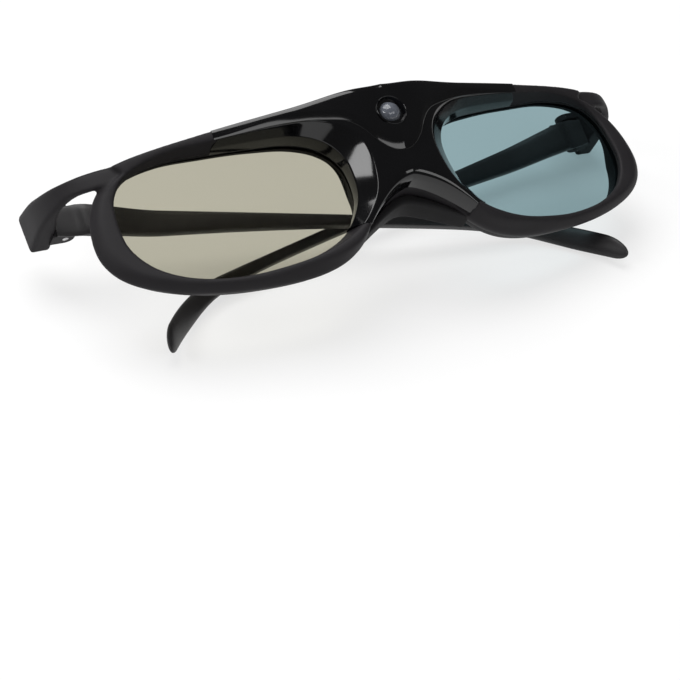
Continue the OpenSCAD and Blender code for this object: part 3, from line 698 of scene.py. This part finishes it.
def temple_piece(side, fold):
    """Arm, barrel and the root that joins them. The arm's section turns from flat to oval at the tip."""
    rings = []
    along = np.concatenate([np.arange(-2.6, 6, 0.8), np.arange(6.5, 128, 2.5), np.arange(129, 141, 1.2),
                            temple_l - np.array([3.2, 2.6, 1.9, 1.3, 0.8, 0.45, 0.2, 0.08, 0.02])])
    for s in along:
        share = max(s - bend_at, 0) / (temple_l - bend_at)
        upper = temple_top - temple_fall * s - bend_fall * share ** 2
        lower = upper - np.interp(s, height_line[:, 0], height_line[:, 1])
        root = eased_step((root_end - s) / root_run)
        upper = min(upper, arm_top)
        lead = eased_step((lead_end - s) / lead_run)
        paddle = min(max((s - paddle_at) / paddle_run, 0), 1)
        half_t, half_h = temple_t / 2 * (1 - root_thin * root), (upper - lower) / 2
        end = min((temple_l - s) / tip_round, 1)
        half_t, half_h = (size * math.sqrt(1 - (1 - end) ** 2) for size in (half_t, half_h))
        power = side_power - paddle_oval * paddle
        ring = []
        for a in np.arange(32) * 2 * math.pi / 32 + 0.05:
            c, d = math.cos(a), math.sin(a)
            r = (abs(c) ** power + abs(d) ** power) ** (-1 / power)
            ring.append((-s, half_t * r * c - bend_in * share ** 2 - skin_lead * lead,
                         (upper + lower) / 2 + half_h * r * d))
        rings.append(hinge_axes(side, fold, ring))
    arm = drawn("arm", rings)
    rings = []
    end_z, end_r = barrel_h / 2, barrel_r - barrel_ease
    profile = [(pin_bore, -end_z), (end_r, -end_z), (barrel_r, barrel_ease - end_z),
               (barrel_r, end_z - barrel_ease), (end_r, end_z), (pin_bore, end_z), (pin_bore, -end_z)]
    for r, z in profile:
        circle = [(r * math.cos(a), r * math.sin(a), z) for a in np.arange(40) * 2 * math.pi / 40]
        rings.append(hinge_axes(side, fold, circle))
    barrel = drawn("barrel", rings, capped=False)
    rings = []
    for s in (1.2, 2.2, 3.4, 4.6, 5.8, 7):
        near, far = root_front, root_back - max(s - 5, 0) * 0.4
        section = [(near, root_low), (far, root_low), (far, root_high), (near, root_high)]
        ring = eased([(-s, *p) for p in section], [0.5] * 4)
        front_clear = max(root_front, -1.4 - max(s - 1, 0) * 0.6)
        rings.append(hinge_axes(side, fold, [(x, max(y, front_clear), z) for x, y, z in ring]))
    return [arm, barrel, drawn("root", rings)]


def lug_pieces(side):
    """The two lugs of one elbow, over and under the barrel."""
    made = []
    for end in (-1, 1):
        middle = end * (barrel_h + lug_h + 2 * run_gap) / 2
        rings = []
        for dz, inset in ((-1, 0.25), (-0.75, 0), (0.75, 0), (1, 0.25)):
            r = barrel_r - inset
            arc = [(r * math.cos(a), r * math.sin(a)) for a in np.linspace(math.pi / 2, 1.5 * math.pi, 15)]
            outline = arc + [(elbow_in - hinge_x + 0.8, -r), (elbow_in - hinge_x + 0.8, r)]
            rings.append(hinge_axes(side, 0, [(x, y, middle + dz * lug_h / 2) for x, y in outline]))
        made.append(drawn("lug", rings))
    return made


satin, wire = new_finish("satin_black")
cloud = speckle(wire, 140.0, 4.0)
show_coat(wire, {"Base Color": between(wire, cloud, (0.021, 0.02, 0.021), (0.03, 0.0285, 0.03)),
                 "Roughness": 0.34 + cloud * 0.12, "Specular IOR Level": 0.3,
                 "Normal": relief(wire, speckle(wire, 6000.0, 2.0), 0.15, 0.00003)})
lugs = joined("hinge_lugs", [lug for side in (-1, 1) for lug in lug_pieces(side)])
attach(lugs, "front")
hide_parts("front_frame")
put_on(matte, lugs)
for name, side, fold in (("left_temple", -1, 4.8), ("right_temple", 1, 1.0)):
    temple = joined(name + "_arm", temple_piece(side, fold))
    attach(temple, name)
    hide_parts(name)
    put_on(satin, temple)

# Rear frame. A thinner matte ring plate is moulded like the front, screwed on from behind, and
# clamps both lenses. Its openings widen to the back along the brow, so that no dark edge shows.
rear_front, rear_top, seat_w, seat_grow, rear_grow = frame_depth + 0.04, 19.8, 2.06, 1.6, 0.6


def rear_ring(side, i):
    """Section of the rear ring at one point of the opening, thinner and wider open at the brow."""
    angle = math.atan2(opening[i, 1], opening[i, 0])
    brow = eased_step((opening[i, 1] + 2) / 9)
    open_out = brow * (0.25 + 0.75 * eased_step((opening[i, 0] + 24) / 22))
    corner = brow * eased_step((opening[i, 0] - 12) / 10)
    back_w = rear_w - 2 * brow
    grows = (rear_grow + 0.5 * open_out, rear_grow + 1.1 * open_out, seat_grow)
    near, far, seat = (grown(grow)[i] + lens_mid for grow in grows)
    corners = [(*near, seat_w), (*far, back_w), (*rim_out(angle, 0.9 + 0.05 * corner), back_w),
               (*rim_out(angle, 0.94 + 0.02 * corner), rear_front), (*seat, rear_front), (*seat, seat_w)]
    return [front_axes(side, *p) for p in eased(corners, [0.1, 0.3, 0.7, 0.2, 0.05, 0.05])]


pieces = []
for side in (-1, 1):
    rings = [rear_ring(side, i) for i in range(count)]
    pieces.append(drawn("rear_ring", rings + [rings[0]], capped=False))
rings = []
for x in plate_x:
    low = arch_z(x) + plate_lift
    section = [(rear_front, low), (rear_front, rear_top), (rear_w, rear_top), (rear_w, low)]
    rings.append(eased([(x, lens_y(x) + depth, z) for depth, z in section], [0.2, 0.2, 0.8, 0.8]))
pieces.append(drawn("rear_plate", rings))
rear = joined("rear_frame_plate", pieces)
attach(rear, "front")
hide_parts("rear_frame")
put_on(matte, rear)

# Metal. The hinge pins are drawn steel, the four rear screws are turned steel, and the charging
# socket is a folded steel shell. All are nickel plated.
steel, wire = new_finish("plated_steel")
draw_lines = speckle(wire, 1500.0, 3.0)
show_coat(wire, {"Base Color": between(wire, draw_lines, (0.48, 0.48, 0.5), (0.66, 0.65, 0.64)),
                 "Metallic": 1.0, "Roughness": 0.22 + draw_lines * 0.2})
put_on(steel, *(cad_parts[n] for n in ("left_hinge_pin", "right_hinge_pin", "rear_screws", "usb_socket")))

# Electronics. The board with its chip, receiver, switch and ribbons fills the bridge, the foil
# cell stands before it, and the button and the light guide come up through the brow.
inner_finishes = {
    "board_green": ((0.008, 0.06, 0.022), (0.016, 0.1, 0.04), 0.35, 0.0, ["main_board"]),
    "chip_black": ((0.012, 0.012, 0.013), (0.026, 0.026, 0.028), 0.5, 0.0,
                   ["control_chip", "photodiode", "power_switch"]),
    "cell_foil": ((0.5, 0.51, 0.53), (0.66, 0.66, 0.67), 0.3, 1.0, ["battery"]),
    "light_guide": ((0.6, 0.66, 0.6), (0.72, 0.77, 0.72), 0.15, 0.0, ["status_light"]),
    "ribbon": ((0.42, 0.17, 0.03), (0.6, 0.27, 0.06), 0.35, 0.0, ["left_lens_flex", "right_lens_flex"]),
    "button_satin": ((0.018, 0.018, 0.019), (0.028, 0.027, 0.029), 0.35, 0.0, ["power_button"]),
}
for name, (dark, light, rough, metal, nodes) in inner_finishes.items():
    made, wire = new_finish(name)
    speck = speckle(wire, 900.0, 4.0)
    show_coat(wire, {"Base Color": between(wire, speck, dark, light), "Metallic": metal,
                     "Roughness": rough + speck * 0.12})
    put_on(made, *(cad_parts[n] for n in nodes))
